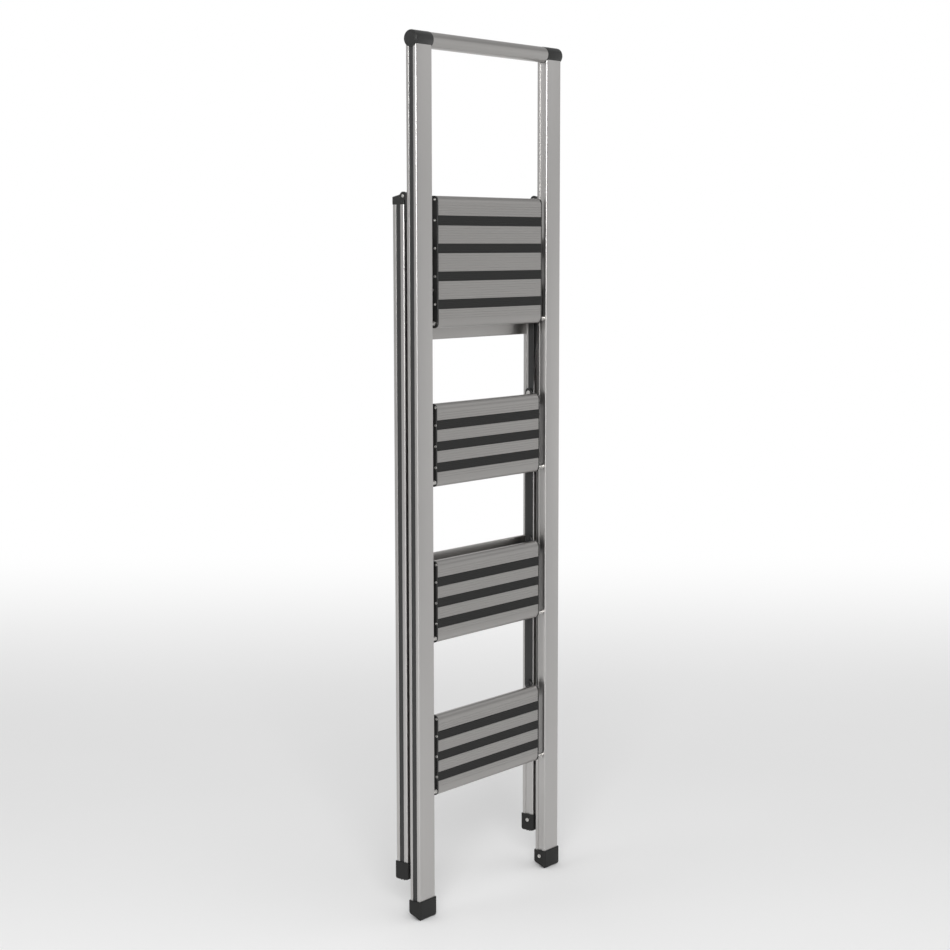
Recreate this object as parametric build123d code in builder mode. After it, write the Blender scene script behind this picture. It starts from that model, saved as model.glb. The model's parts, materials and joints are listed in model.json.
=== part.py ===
"""Folding aluminium step ladder with three treads, a platform and a handle bar, stored folded.

X runs across the ladder, Y runs from the climbing side to the rear, Z is up.  The origin lies on
the floor, in the middle of the folded ladder's width and depth.  Millimetres.
"""
import os
from math import atan2, cos, degrees, hypot, radians, sin, tan
from build123d import *

os.makedirs("parts", exist_ok=True)

# ---- driving dimensions: extrusions -------------------------------------------------------
WIDTH = 400.0              # outside of one front stile to the outside of the other
STILE_W = 41.0             # stile across the ladder
FRONT_D = 21.2             # front stile, front to back
REAR_D = 23.4              # rear stile, front to back
FRONT_Y = -24.0            # front face of the front stiles
REAR_Y = 2.0               # front face of the rear stiles
STILE_R = 2.6              # rounded long corners of both extrusions
WALL = 1.8                 # extrusion wall
GROOVE_W = 8.6             # outer groove that holds the black insert
GROOVE_DEEP = 5.0
INNER_GROOVE_DEEP = 1.4    # empty decorative groove on the inner face
INSERT_SINK = 0.7          # how far the insert lies below the stile's outer face
STILE_LOW = 12.0           # lower end of a front stile, inside its boot
STILE_TOP = 1430.0         # before the saddle under the handle bar is cut
REAR_TOP = 1165.5          # top of the rear extrusion, under its hinge cap

# ---- handle bar ---------------------------------------------------------------------------
HANDLE_Y = -13.5           # handle bar axis
HANDLE_Z = 1421.5
TUBE_R = 13.1
TUBE_WALL = 1.4
CAP_R = 13.5               # corner caps, a little wider than the tube
CAP_OUT = 201.6            # outer end of the corner caps
CAP_IN = 158.4             # where cap and tube meet
CAP_RIM = 2.0
SPIGOT_L = 22.0            # cap spigot inside the tube
PLUG_W, PLUG_D, PLUG_L = 28.0, 14.0, 30.0     # cap plug inside the stile
PLUG_SHIFT = 1.6           # plug's middle, inward of the stile's, clear of the outer groove

# ---- feet ---------------------------------------------------------------------------------
LEAN = 22.0                # lean of the front frame when the ladder stands open, degrees
FOOT_H = 32.0
FOOT_PROUD = 2.0           # boot wall outside the stile
REAR_PROUD = 1.6           # the same at the front and back of a rear boot
BOOT_EDGE = 5.0            # rounding of the front boot's lower edges
BOOT_CORNER = 3.6          # rounding of the boots' upright corners
REAR_FOOT_Z = 62.3
REAR_SOLE_T = 8.0          # sole under the rear stile
ROCKER = 3.6               # rise of the rear sole at its front and back edges
SCREW_R, SCREW_H = 3.4, 1.3
FRONT_SCREW = (10.4, 21.6)      # screw from the stile's front face, and above the floor
REAR_SCREW = (10.7, 21.5)       # screw from the rear stile's front face, and above its sole

# ---- treads and platform ------------------------------------------------------------------
TREAD_PITCH = 256.8
TREAD_BOTTOM = 199.1       # lower edge of the lowest tread
TREAD_H = 135.3
PLATFORM_H = 210.5
TREAD_Y = -19.2            # standing surface of the treads when folded
PLATFORM_Y = -23.0         # standing surface of the platform when folded
TREAD_T = 16.0
TREAD_HALF = 143.0         # half length of the aluminium board
END_T = 3.0                # thickness of the moulded end caps
NOSE_R = 7.2
STRIP_W = 15.3
STRIP_DEEP = 1.4
STRIP_PROUD = 0.5
TREAD_STRIPS = (3, 24.2, 34.3)         # number, first one's lower edge, pitch
PLATFORM_STRIPS = (4, 30.5, 44.5)
CHAMBER_T = 9.8            # hollow chambers inside a board
CHAMBER_LOW, CHAMBER_HIGH = 11.5, 8.0  # chambers' distance from the lower and the upper edge
CAP_SCREW_Y = -18.0        # screws through the end caps
CAP_SCREW_R, TOP_SCREW_R, CAP_SCREW_H = 2.3, 1.9, 1.0
TOP_SCREW_DOWN = 6.0       # last screw below the upper edge

# ---- tread pivots and links ---------------------------------------------------------------
PIVOT_Y = -15.5
PIVOT_UP = 7.5             # above each tread's lower edge
PIVOT_DEEP = 8.0           # how far a pivot's bore reaches into the board
BUSH_R = 4.0
GAP = 0.4                  # side play
LUG_DY, LUG_DZ = 18.0, 128.0    # link pin from the pivot of its tread
LUG_R = 7.0
LUG_DROP = 34.0            # the lug's web starts this far below its pin
WEB_BACK = 4.0             # where the web leaves the board, before its rear face
PIN_R = 3.0
RUN = 0.05                 # radial running clearance of the pins
HEAD_PROUD, HEAD_T = 1.2, 0.9   # rivet heads: radius beyond the pin, and thickness
STRAP_X, STRAP_T = 147.0, 1.8   # layers outward from the end caps: strap, link bar, stay
LINK_X, LINK_T = 148.8, 2.0
STAY_X, STAY_T = 153.8, 2.4
STRAP_W, STRAP_Y, STRAP_END, STRAP_R = 10.6, 0.5, 5.2, 5.0
LINK_W, LINK_Y, LINK_END, LINK_R = 16.0, 5.5, 8.0, 6.0

# ---- rear hinge and stays -----------------------------------------------------------------
HINGE_Y, HINGE_Z = 4.0, 1179.0
HINGE_PIN_R = 2.5
EAR_R = 6.7
EAR_T = 3.6
EAR_NECK = 2.5             # the ear's neck is this much less than its radius above and below
WEB_T = 3.2
WEB_LOW, WEB_HIGH = 1140.0, 1170.0
BRACKET_GAP = 0.2          # bracket inside the faces of the stile
KNUCKLE_R = 5.9
CAP_REAR_TOP, CAP_RIDGE_TOP, CAP_FRONT_TOP = 1177.6, 1181.0, 1176.0
CAP_RIDGE = 9.0            # ridge behind the rear stile's front face
HINGE_PLUG_L = 20.0
STAY_Y, STAY_Z = -11.5, 1030.0      # stay pin on the platform
ANCHOR_Y, ANCHOR_Z = 6.0, 848.0     # where the stay meets the rear stile
STAY_W = 9.0

# ---- crossbars ----------------------------------------------------------------------------
BAR_T, BAR_H, BAR_R, BAR_WALL = 8.0, 29.0, 2.0, 1.5
CROSSBARS = {"upper": 949.0, "lower": 568.0}   # lower edges
BAR_Y = 18.5               # front face of the crossbars

# ---- worked out from them -----------------------------------------------------------------
STILE_X = WIDTH / 2 - STILE_W / 2          # stile centre
STILE_IN = WIDTH / 2 - STILE_W             # inner face of a stile
FRONT_BACK = FRONT_Y + FRONT_D
END_X = TREAD_HALF + END_T                 # outer face of an end cap
LUG_Y = PIVOT_Y + LUG_DY
SIDES = {"left": -1, "right": 1}
TREAD_NAMES = ["lower_tread", "middle_tread", "upper_tread", "platform"]
LEVELS = {name: TREAD_BOTTOM + i * TREAD_PITCH for i, name in enumerate(TREAD_NAMES)}
PIN_LEVELS = [level + PIVOT_UP + LUG_DZ for level in LEVELS.values()]


def height_of(name):
    return PLATFORM_H if name == "platform" else TREAD_H


def face_of(name):
    """Front face of a tread or the platform."""
    return PLATFORM_Y if name == "platform" else TREAD_Y


def strip_heights(name):
    """Lower edges of the black strips above the tread's own lower edge."""
    count, first, pitch = PLATFORM_STRIPS if name == "platform" else TREAD_STRIPS
    return [first + i * pitch for i in range(count)]


def save(part, name):
    """Label a finished piece and write it as its own STEP file."""
    part.label = name
    export_step(part, f"parts/{name}.step")


def across(side, inner, thick):
    """Plane facing along X for a slab that starts at distance inner from the middle."""
    start = side * inner if side > 0 else side * (inner + thick)
    return Plane.YZ.offset(start)


def disc(side, inner, thick, y, z, radius):
    """Round slab or pin along X, from distance inner outward."""
    with BuildPart() as slab:
        with BuildSketch(across(side, inner, thick)):
            with Locations((y, z)):
                Circle(radius)
        extrude(amount=thick)
    return slab.part


# ---- stiles and their inserts -------------------------------------------------------------
def stile(side, front_y, depth, low, high):
    """Hollow extrusion with an outer groove for the insert and a shallow inner groove."""
    mid_y = front_y + depth / 2
    near = STILE_IN + INNER_GROOVE_DEEP + WALL
    far = WIDTH / 2 - GROOVE_DEEP - WALL
    with BuildPart() as body:
        with BuildSketch(Plane.XY.offset(low)):
            with Locations((side * STILE_X, mid_y)):
                RectangleRounded(STILE_W, depth, STILE_R)
            with Locations((side * (WIDTH / 2 - GROOVE_DEEP / 2), mid_y)):
                Rectangle(GROOVE_DEEP, GROOVE_W, mode=Mode.SUBTRACT)
            with Locations((side * (STILE_IN + INNER_GROOVE_DEEP / 2), mid_y)):
                Rectangle(INNER_GROOVE_DEEP, GROOVE_W, mode=Mode.SUBTRACT)
            with Locations((side * (near + far) / 2, mid_y)):
                Rectangle(far - near, depth - 2 * WALL, mode=Mode.SUBTRACT)
        extrude(amount=high - low)
    return body.part


def insert_strip(side, front_y, depth, low, high):
    """Black plastic strip pressed into the outer groove."""
    thick = GROOVE_DEEP - INSERT_SINK
    with BuildPart() as strip:
        with BuildSketch(Plane.XY.offset(low)):
            with Locations((side * (WIDTH / 2 - INSERT_SINK - thick / 2), front_y + depth / 2)):
                Rectangle(thick, GROOVE_W)
        extrude(amount=high - low)
    return strip.part


def under_handle(piece):
    """The piece with a saddle cut for the handle bar's corner cap."""
    with BuildPart() as cut:
        add(piece)
        with BuildSketch(Plane.YZ.offset(-WIDTH)):
            with Locations((HANDLE_Y, HANDLE_Z)):
                Circle(CAP_R)
            with Locations((HANDLE_Y, HANDLE_Z + CAP_R)):
                Rectangle(3 * CAP_R, 2 * CAP_R)
        extrude(amount=2 * WIDTH, mode=Mode.SUBTRACT)
    return cut.part


rear_low = REAR_FOOT_Z + REAR_SOLE_T
for name, side in SIDES.items():
    front_stile = stile(side, FRONT_Y, FRONT_D, STILE_LOW, STILE_TOP)
    front_insert = insert_strip(side, FRONT_Y, FRONT_D, STILE_LOW, STILE_TOP)
    save(under_handle(front_stile), f"front_{name}_stile")
    save(under_handle(front_insert), f"front_{name}_insert")
    save(stile(side, REAR_Y, REAR_D, rear_low, REAR_TOP), f"rear_{name}_stile")
    save(insert_strip(side, REAR_Y, REAR_D, rear_low, REAR_TOP), f"rear_{name}_insert")


# ---- handle bar and its corner caps -------------------------------------------------------
with BuildPart() as handle_tube:
    with BuildSketch(Plane.YZ.offset(-CAP_IN)):
        with Locations((HANDLE_Y, HANDLE_Z)):
            Circle(TUBE_R)
            Circle(TUBE_R - TUBE_WALL, mode=Mode.SUBTRACT)
    extrude(amount=2 * CAP_IN)
save(handle_tube.part, "handle_tube")

for name, side in SIDES.items():
    with BuildPart() as handle_cap:
        with BuildSketch(across(side, CAP_IN, CAP_OUT - CAP_IN)):
            with Locations((HANDLE_Y, HANDLE_Z)):
                Circle(CAP_R)
        extrude(amount=CAP_OUT - CAP_IN)
        rims = handle_cap.edges().filter_by(GeomType.CIRCLE).sort_by(Axis.X)
        fillet(rims[-1 if side > 0 else 0], radius=CAP_RIM)
        with BuildSketch(across(side, CAP_IN - SPIGOT_L, SPIGOT_L)):
            with Locations((HANDLE_Y, HANDLE_Z)):
                Circle(TUBE_R - TUBE_WALL - RUN)
        extrude(amount=SPIGOT_L)
        # plug that goes down inside the stile
        with BuildSketch(Plane.XY.offset(HANDLE_Z - CAP_R - PLUG_L)):
            with Locations((side * (STILE_X - PLUG_SHIFT), FRONT_Y + FRONT_D / 2)):
                Rectangle(PLUG_W, PLUG_D)
        extrude(amount=PLUG_L + CAP_R)
    save(handle_cap.part, f"{name}_handle_cap")


# ---- feet ---------------------------------------------------------------------------------
lean = radians(LEAN)
toe_z = BOOT_EDGE * (1 - cos(lean)) - tan(lean) * BOOT_EDGE * (1 + sin(lean))
boot_front = FRONT_Y - FOOT_PROUD
boot_back = FRONT_BACK + FOOT_PROUD
heel_z = toe_z + tan(lean) * (boot_back - boot_front)
rear_boot_front = REAR_Y - REAR_PROUD
rear_boot_back = REAR_Y + REAR_D + REAR_PROUD
boot_in = STILE_IN - FOOT_PROUD
boot_w = STILE_W + 2 * FOOT_PROUD

for name, side in SIDES.items():
    # front boot, its sole cut so that it lies flat when the front frame leans
    with BuildPart() as front_foot:
        with BuildSketch(across(side, boot_in, boot_w)) as sole:
            with BuildLine():
                Polyline((boot_front, toe_z), (boot_back, heel_z), (boot_back, FOOT_H),
                         (boot_front, FOOT_H), close=True)
            make_face()
            fillet(sole.vertices().sort_by(Axis.Y)[:2], radius=BOOT_EDGE)
        extrude(amount=boot_w)
        fillet(front_foot.edges().filter_by(Axis.Z), radius=BOOT_CORNER)
        with BuildSketch(Plane.XY.offset(STILE_LOW)):
            with Locations((side * STILE_X, FRONT_Y + FRONT_D / 2)):
                RectangleRounded(STILE_W, FRONT_D, STILE_R)
        extrude(amount=FOOT_H, mode=Mode.SUBTRACT)
    save(front_foot.part, f"front_{name}_foot")

    # rear boot with a rocker sole
    with BuildPart() as rear_foot:
        with BuildSketch(across(side, boot_in, boot_w)):
            with BuildLine():
                ThreePointArc((rear_boot_front, REAR_FOOT_Z + ROCKER),
                              ((rear_boot_front + rear_boot_back) / 2, REAR_FOOT_Z),
                              (rear_boot_back, REAR_FOOT_Z + ROCKER))
                Polyline((rear_boot_back, REAR_FOOT_Z + ROCKER), (rear_boot_back, REAR_FOOT_Z + FOOT_H),
                         (rear_boot_front, REAR_FOOT_Z + FOOT_H),
                         (rear_boot_front, REAR_FOOT_Z + ROCKER))
            make_face()
        extrude(amount=boot_w)
        fillet(rear_foot.edges().filter_by(Axis.Z), radius=BOOT_CORNER)
        with BuildSketch(Plane.XY.offset(rear_low)):
            with Locations((side * STILE_X, REAR_Y + REAR_D / 2)):
                RectangleRounded(STILE_W, REAR_D, STILE_R)
        extrude(amount=FOOT_H, mode=Mode.SUBTRACT)
    save(rear_foot.part, f"rear_{name}_foot")


def pan_head(side, face_x, y, z, radius, height):
    """Domed screw head standing inward from a face that looks at the middle."""
    with BuildPart() as head:
        with BuildSketch(across(side, face_x - height, height)):
            with Locations((y, z)):
                Circle(radius)
        extrude(amount=height)
        rim = head.edges().filter_by(GeomType.CIRCLE).sort_by(Axis.X)[0 if side > 0 else -1]
        fillet(rim, radius=0.6 * height)
    return head.part


foot_screws = {
    "front_foot_screws": (FRONT_Y + FRONT_SCREW[0], FRONT_SCREW[1]),
    "rear_foot_screws": (REAR_Y + REAR_SCREW[0], REAR_FOOT_Z + REAR_SCREW[1]),
}
for name, (y, z) in foot_screws.items():
    heads = [pan_head(side, boot_in, y, z, SCREW_R, SCREW_H) for side in SIDES.values()]
    save(Compound(children=heads), name)


# ---- tread pivots, fixed in the front stiles ----------------------------------------------
pivot_in = TREAD_HALF - PIVOT_DEEP + 0.5
bush_in = END_X + GAP

with BuildPart() as tread_pivots:
    for side in SIDES.values():
        for level in LEVELS.values():
            with BuildSketch(across(side, pivot_in, STILE_IN - pivot_in)):
                with Locations((PIVOT_Y, level + PIVOT_UP)):
                    Circle(PIN_R)
            extrude(amount=STILE_IN - pivot_in)
save(tread_pivots.part, "tread_pivots")

with BuildPart() as pivot_bushes:
    for side in SIDES.values():
        for level in LEVELS.values():
            with BuildSketch(across(side, bush_in, STILE_IN - bush_in)):
                with Locations((PIVOT_Y, level + PIVOT_UP)):
                    Circle(BUSH_R)
                    Circle(PIN_R, mode=Mode.SUBTRACT)
            extrude(amount=STILE_IN - bush_in)
save(pivot_bushes.part, "pivot_bushes")


# ---- rear hinge brackets on the back of the front stiles ----------------------------------
bracket_in = STILE_IN + BRACKET_GAP
bracket_w = STILE_W - 2 * BRACKET_GAP
cheeks = (bracket_in, WIDTH / 2 - BRACKET_GAP - EAR_T)     # inner face of each cheek
cheek_top = HINGE_Z + EAR_R - EAR_NECK

for name, side in SIDES.items():
    with BuildPart() as hinge_bracket:
        with BuildSketch(across(side, bracket_in, bracket_w)):
            with Locations((FRONT_BACK + WEB_T / 2, (WEB_LOW + WEB_HIGH) / 2)):
                Rectangle(WEB_T, WEB_HIGH - WEB_LOW)
        extrude(amount=bracket_w)
        for cheek in cheeks:
            with BuildSketch(across(side, cheek, EAR_T)):
                with Locations((HINGE_Y, HINGE_Z)):
                    Circle(EAR_R)
                with Locations((FRONT_BACK + WEB_T / 2, (WEB_LOW + cheek_top) / 2)):
                    Rectangle(WEB_T, cheek_top - WEB_LOW)
                with Locations(((FRONT_BACK + HINGE_Y) / 2, HINGE_Z)):
                    Rectangle(HINGE_Y - FRONT_BACK, 2 * (EAR_R - EAR_NECK))
                with Locations((HINGE_Y, HINGE_Z)):
                    Circle(HINGE_PIN_R, mode=Mode.SUBTRACT)
            extrude(amount=EAR_T)
    save(hinge_bracket.part, f"{name}_hinge_bracket")

pin_over = 1.0             # hinge pins stand this far out of the stile's faces
pins = [disc(side, STILE_IN - pin_over, STILE_W + 2 * pin_over, HINGE_Y, HINGE_Z, HINGE_PIN_R)
        for side in SIDES.values()]
save(Compound(children=pins), "hinge_pins")


# ---- treads and platform ------------------------------------------------------------------
def board_section(name):
    """Tread outline in the Y-Z plane: a flat board with well rounded long edges."""
    height = height_of(name)
    with BuildSketch() as outline:
        with Locations((face_of(name) + TREAD_T / 2, LEVELS[name] + height / 2)):
            RectangleRounded(TREAD_T, height, NOSE_R)
    return outline.sketch


def board(name):
    """Hollow aluminium board with a groove for each strip and a bore for each pivot."""
    level, face, strips = LEVELS[name], face_of(name), strip_heights(name)
    outline = board_section(name)
    # hollow chambers between webs
    edges = [CHAMBER_LOW] + [up + STRIP_W / 2 for up in strips] + [height_of(name) - CHAMBER_HIGH]
    chamber_y = face + STRIP_DEEP + WALL + CHAMBER_T / 2
    with BuildPart() as body:
        with BuildSketch(Plane.YZ.offset(-TREAD_HALF)):
            add(outline)
            for up in strips:
                with Locations((face + STRIP_DEEP / 2, level + up + STRIP_W / 2)):
                    Rectangle(STRIP_DEEP, STRIP_W, mode=Mode.SUBTRACT)
            for low, high in zip(edges[:-1], edges[1:]):
                with Locations((chamber_y, level + (low + high) / 2)):
                    Rectangle(CHAMBER_T, high - low - WALL, mode=Mode.SUBTRACT)
        extrude(amount=2 * TREAD_HALF)
        for side in SIDES.values():
            with BuildSketch(across(side, TREAD_HALF - PIVOT_DEEP, PIVOT_DEEP)):
                with Locations((PIVOT_Y, level + PIVOT_UP)):
                    Circle(PIN_R + RUN)
            extrude(amount=PIVOT_DEEP, mode=Mode.SUBTRACT)
    return body.part


def strip_set(name):
    """Non-slip strips, standing just proud of the board."""
    middle = face_of(name) + (STRIP_DEEP - STRIP_PROUD) / 2
    with BuildPart() as strips:
        for up in strip_heights(name):
            with BuildSketch(Plane.YZ.offset(-TREAD_HALF)):
                with Locations((middle, LEVELS[name] + up + STRIP_W / 2)):
                    Rectangle(STRIP_DEEP + STRIP_PROUD, STRIP_W)
            extrude(amount=2 * TREAD_HALF)
    return strips.part


def end_cap(side, name):
    """Moulded end cap with the lug that takes the link pin and a bore for the tread pivot."""
    level = LEVELS[name]
    lug_z = level + PIVOT_UP + LUG_DZ
    back = face_of(name) + TREAD_T - WEB_BACK
    web_top = min(lug_z + LUG_R, level + height_of(name) - END_T)
    outline = board_section(name)
    with BuildPart() as cap:
        with BuildSketch(across(side, TREAD_HALF, END_T)):
            add(outline)
            with Locations((LUG_Y, lug_z)):
                Circle(LUG_R)
            with BuildLine():
                Polyline((back, lug_z - LUG_DROP), (LUG_Y + 0.8 * LUG_R, lug_z - 0.6 * LUG_R),
                         (LUG_Y, lug_z + LUG_R), (back, web_top), close=True)
            make_face()
            with Locations((PIVOT_Y, level + PIVOT_UP)):
                Circle(PIN_R + RUN, mode=Mode.SUBTRACT)
            with Locations((LUG_Y, lug_z)):
                Circle(PIN_R, mode=Mode.SUBTRACT)
            if name == "platform":
                with Locations((STAY_Y, STAY_Z)):
                    Circle(PIN_R, mode=Mode.SUBTRACT)
        extrude(amount=END_T)
    return cap.part


def screw_set(name):
    """Screw heads on the end caps, one at each strip and one near the upper edge."""
    level = LEVELS[name]
    spots = [(level + up + STRIP_W / 2, CAP_SCREW_R) for up in strip_heights(name)]
    spots.append((level + height_of(name) - TOP_SCREW_DOWN, TOP_SCREW_R))
    heads = [disc(side, END_X, CAP_SCREW_H, CAP_SCREW_Y, z, radius)
             for side in SIDES.values() for z, radius in spots]
    return Compound(children=heads)


for name in TREAD_NAMES:
    save(board(name), f"{name}_board")
    save(strip_set(name), f"{name}_strips")
    for hand, side in SIDES.items():
        save(end_cap(side, name), f"{name}_{hand}_cap")
    save(screw_set(name), f"{name}_screws")


# ---- links that keep the treads and the platform parallel ---------------------------------
def flat_link(side, inner, thick, middle_y, width, corner, ends, pins):
    """Upright flat bar with a bore for each pin."""
    low, high = ends
    with BuildPart() as flat:
        with BuildSketch(across(side, inner, thick)):
            with Locations((middle_y, (low + high) / 2)):
                RectangleRounded(width, high - low, corner)
            for z in pins:
                with Locations((LUG_Y, z)):
                    Circle(PIN_R + RUN, mode=Mode.SUBTRACT)
        extrude(amount=thick)
    return flat.part


link_ends = (PIN_LEVELS[0] - LINK_END, PIN_LEVELS[2] + LINK_END)
strap_ends = (PIN_LEVELS[2] - STRAP_END, PIN_LEVELS[3] + STRAP_END)
for name, side in SIDES.items():
    save(flat_link(side, LINK_X, LINK_T, LINK_Y, LINK_W, LINK_R, link_ends, PIN_LEVELS[:3]),
         f"{name}_link_bar")
    save(flat_link(side, STRAP_X, STRAP_T, STRAP_Y, STRAP_W, STRAP_R, strap_ends, PIN_LEVELS[2:]),
         f"{name}_link_strap")


def rivets(inner, outer, y, z, play, inner_head):
    """A pin on each side, with an outer head beyond the play and a head inside when asked."""
    with BuildPart() as pair:
        for side in SIDES.values():
            steps = [(inner, outer + play, PIN_R), (outer + play, outer + play + HEAD_T, PIN_R + HEAD_PROUD)]
            if inner_head:
                steps.append((inner - HEAD_T, inner, PIN_R + HEAD_PROUD))
            for start, end, radius in steps:
                with BuildSketch(across(side, start, end - start)):
                    with Locations((y, z)):
                        Circle(radius)
                extrude(amount=end - start)
    return pair.part


# each link pin is riveted into its tread's lug
for name, z in zip(TREAD_NAMES, PIN_LEVELS):
    outer = STRAP_X + STRAP_T if name == "platform" else LINK_X + LINK_T
    save(rivets(TREAD_HALF, outer, LUG_Y, z, play=0.1, inner_head=True), f"{name}_link_pins")


# ---- stays between the platform and the rear stiles ---------------------------------------
stay_dy, stay_dz = ANCHOR_Y - STAY_Y, ANCHOR_Z - STAY_Z
stay_middle = ((STAY_Y + ANCHOR_Y) / 2, (STAY_Z + ANCHOR_Z) / 2, 0)
stay_tilt = degrees(atan2(stay_dz, stay_dy))
RIVET_END = STILE_IN - 0.1         # the lower rivet ends just short of the rear stile

for name, side in SIDES.items():
    with BuildPart() as stay:
        with BuildSketch(across(side, STAY_X, STAY_T)):
            with Locations(Location(stay_middle, (0, 0, stay_tilt))):
                SlotCenterToCenter(hypot(stay_dy, stay_dz), STAY_W)
            with Locations((STAY_Y, STAY_Z), (ANCHOR_Y, ANCHOR_Z)):
                Circle(PIN_R + RUN, mode=Mode.SUBTRACT)
        extrude(amount=STAY_T)
    save(stay.part, f"{name}_stay")

    with BuildPart() as stay_rivet:
        for start, end, radius in ((STAY_X, RIVET_END, PIN_R),
                                   (STAY_X - HEAD_T, STAY_X, PIN_R + HEAD_PROUD)):
            with BuildSketch(across(side, start, end - start)):
                with Locations((ANCHOR_Y, ANCHOR_Z)):
                    Circle(radius)
            extrude(amount=end - start)
    save(stay_rivet.part, f"{name}_stay_rivet")

save(rivets(TREAD_HALF, STAY_X + STAY_T, STAY_Y, STAY_Z, play=0.2, inner_head=False), "stay_pins")


# ---- rear frame ---------------------------------------------------------------------------
for name, low in CROSSBARS.items():
    with BuildPart() as crossbar:
        with BuildSketch(Plane.YZ.offset(-STILE_IN)):
            with Locations((BAR_Y + BAR_T / 2, low + BAR_H / 2)):
                RectangleRounded(BAR_T, BAR_H, BAR_R)
                RectangleRounded(BAR_T - 2 * BAR_WALL, BAR_H - 2 * BAR_WALL, BAR_R - 1.2,
                                 mode=Mode.SUBTRACT)
        extrude(amount=2 * STILE_IN)
    save(crossbar.part, f"rear_{name}_crossbar")

knuckle_in, knuckle_w = cheeks[0] + EAR_T + GAP, cheeks[1] - cheeks[0] - EAR_T - 2 * GAP
relief_w = EAR_T + 4 * GAP
for name, side in SIDES.items():
    with BuildPart() as hinge_cap:
        with BuildSketch(across(side, STILE_IN, STILE_W)):
            with BuildLine():
                Polyline((REAR_Y, REAR_TOP), (REAR_Y + REAR_D, REAR_TOP),
                         (REAR_Y + REAR_D, CAP_REAR_TOP), (REAR_Y + CAP_RIDGE, CAP_RIDGE_TOP),
                         (REAR_Y, CAP_FRONT_TOP), close=True)
            make_face()
        extrude(amount=STILE_W)
        with BuildSketch(across(side, knuckle_in, knuckle_w)):
            with Locations((HINGE_Y, HINGE_Z)):
                Circle(KNUCKLE_R)
        extrude(amount=knuckle_w)
        # room for the bracket's ears, then the bore for the hinge pin
        for start in (STILE_IN - 2.5 * GAP, cheeks[1] - GAP):
            with BuildSketch(across(side, start, relief_w)):
                with Locations((HINGE_Y, HINGE_Z)):
                    Circle(EAR_R + GAP)
            extrude(amount=relief_w, mode=Mode.SUBTRACT)
        with BuildSketch(across(side, STILE_IN - 1.0, STILE_W + 2.0)):
            with Locations((HINGE_Y, HINGE_Z)):
                Circle(HINGE_PIN_R + RUN)
        extrude(amount=STILE_W + 2.0, mode=Mode.SUBTRACT)
        # plug inside the rear extrusion
        with BuildSketch(Plane.XY.offset(REAR_TOP - HINGE_PLUG_L)):
            with Locations((side * (STILE_X - PLUG_SHIFT), REAR_Y + REAR_D / 2)):
                Rectangle(PLUG_W, REAR_D - 2 * WALL - 1.0)
        extrude(amount=HINGE_PLUG_L)
    save(hinge_cap.part, f"rear_{name}_hinge_cap")
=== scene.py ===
# %% [markdown]
# # A folding step ladder, finished in Blender
# The solid model comes in as a fixed frame: every part is already in its place, in metres,
# with z up and the climbing side towards -y. This lesson builds finer surfaces over it where
# the real thing shows more, such as the fine ribs of the treads and the rounded lips of the
# extruded stiles, and gives every part a material made from nodes.

# %% Load the frame
import json
import math

import bmesh
import bpy
import numpy as np
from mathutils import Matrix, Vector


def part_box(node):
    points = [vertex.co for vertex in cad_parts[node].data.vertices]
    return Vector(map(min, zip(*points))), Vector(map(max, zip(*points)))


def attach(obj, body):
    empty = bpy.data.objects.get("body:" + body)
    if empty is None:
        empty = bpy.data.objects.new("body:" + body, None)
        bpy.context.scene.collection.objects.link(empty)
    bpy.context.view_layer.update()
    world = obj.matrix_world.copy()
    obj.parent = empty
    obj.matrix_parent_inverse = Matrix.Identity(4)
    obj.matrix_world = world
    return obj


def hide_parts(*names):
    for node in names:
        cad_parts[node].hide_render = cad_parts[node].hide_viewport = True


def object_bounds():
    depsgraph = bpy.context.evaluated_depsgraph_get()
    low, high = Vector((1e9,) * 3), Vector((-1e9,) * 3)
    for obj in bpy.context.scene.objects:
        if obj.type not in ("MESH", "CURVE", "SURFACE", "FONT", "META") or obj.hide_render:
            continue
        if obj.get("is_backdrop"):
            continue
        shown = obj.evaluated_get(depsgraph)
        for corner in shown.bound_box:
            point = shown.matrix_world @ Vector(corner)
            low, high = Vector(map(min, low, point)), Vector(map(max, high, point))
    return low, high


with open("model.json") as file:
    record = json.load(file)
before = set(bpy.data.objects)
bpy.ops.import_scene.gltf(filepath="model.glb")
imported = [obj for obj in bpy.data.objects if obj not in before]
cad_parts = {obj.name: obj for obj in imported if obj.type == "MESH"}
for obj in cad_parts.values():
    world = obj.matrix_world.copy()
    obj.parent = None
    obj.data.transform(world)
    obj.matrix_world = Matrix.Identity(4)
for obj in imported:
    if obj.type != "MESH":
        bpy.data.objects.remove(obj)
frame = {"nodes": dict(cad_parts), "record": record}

cad_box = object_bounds()
nodes, bodies = frame["nodes"], frame["record"]["behaviour"]["bodies"]
body_of = {node: body for body, members in bodies.items() for node in members}
MM = 0.001
SIDES = {"left": -1, "right": 1}


def corners(node):
    """Lowest and highest corner of a solid, in millimetres."""
    low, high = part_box(node)
    return np.array(low) / MM, np.array(high) / MM


# %% [markdown]
# ## Camera first
# A lens is set by its focal length in millimetres over a 36 mm sensor. A long lens from about
# three and a half metres away keeps the ladder's uprights nearly parallel, as in a catalogue.
# The small shift slides the view sideways and up without turning the camera, so that the
# uprights stay upright.

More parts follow.
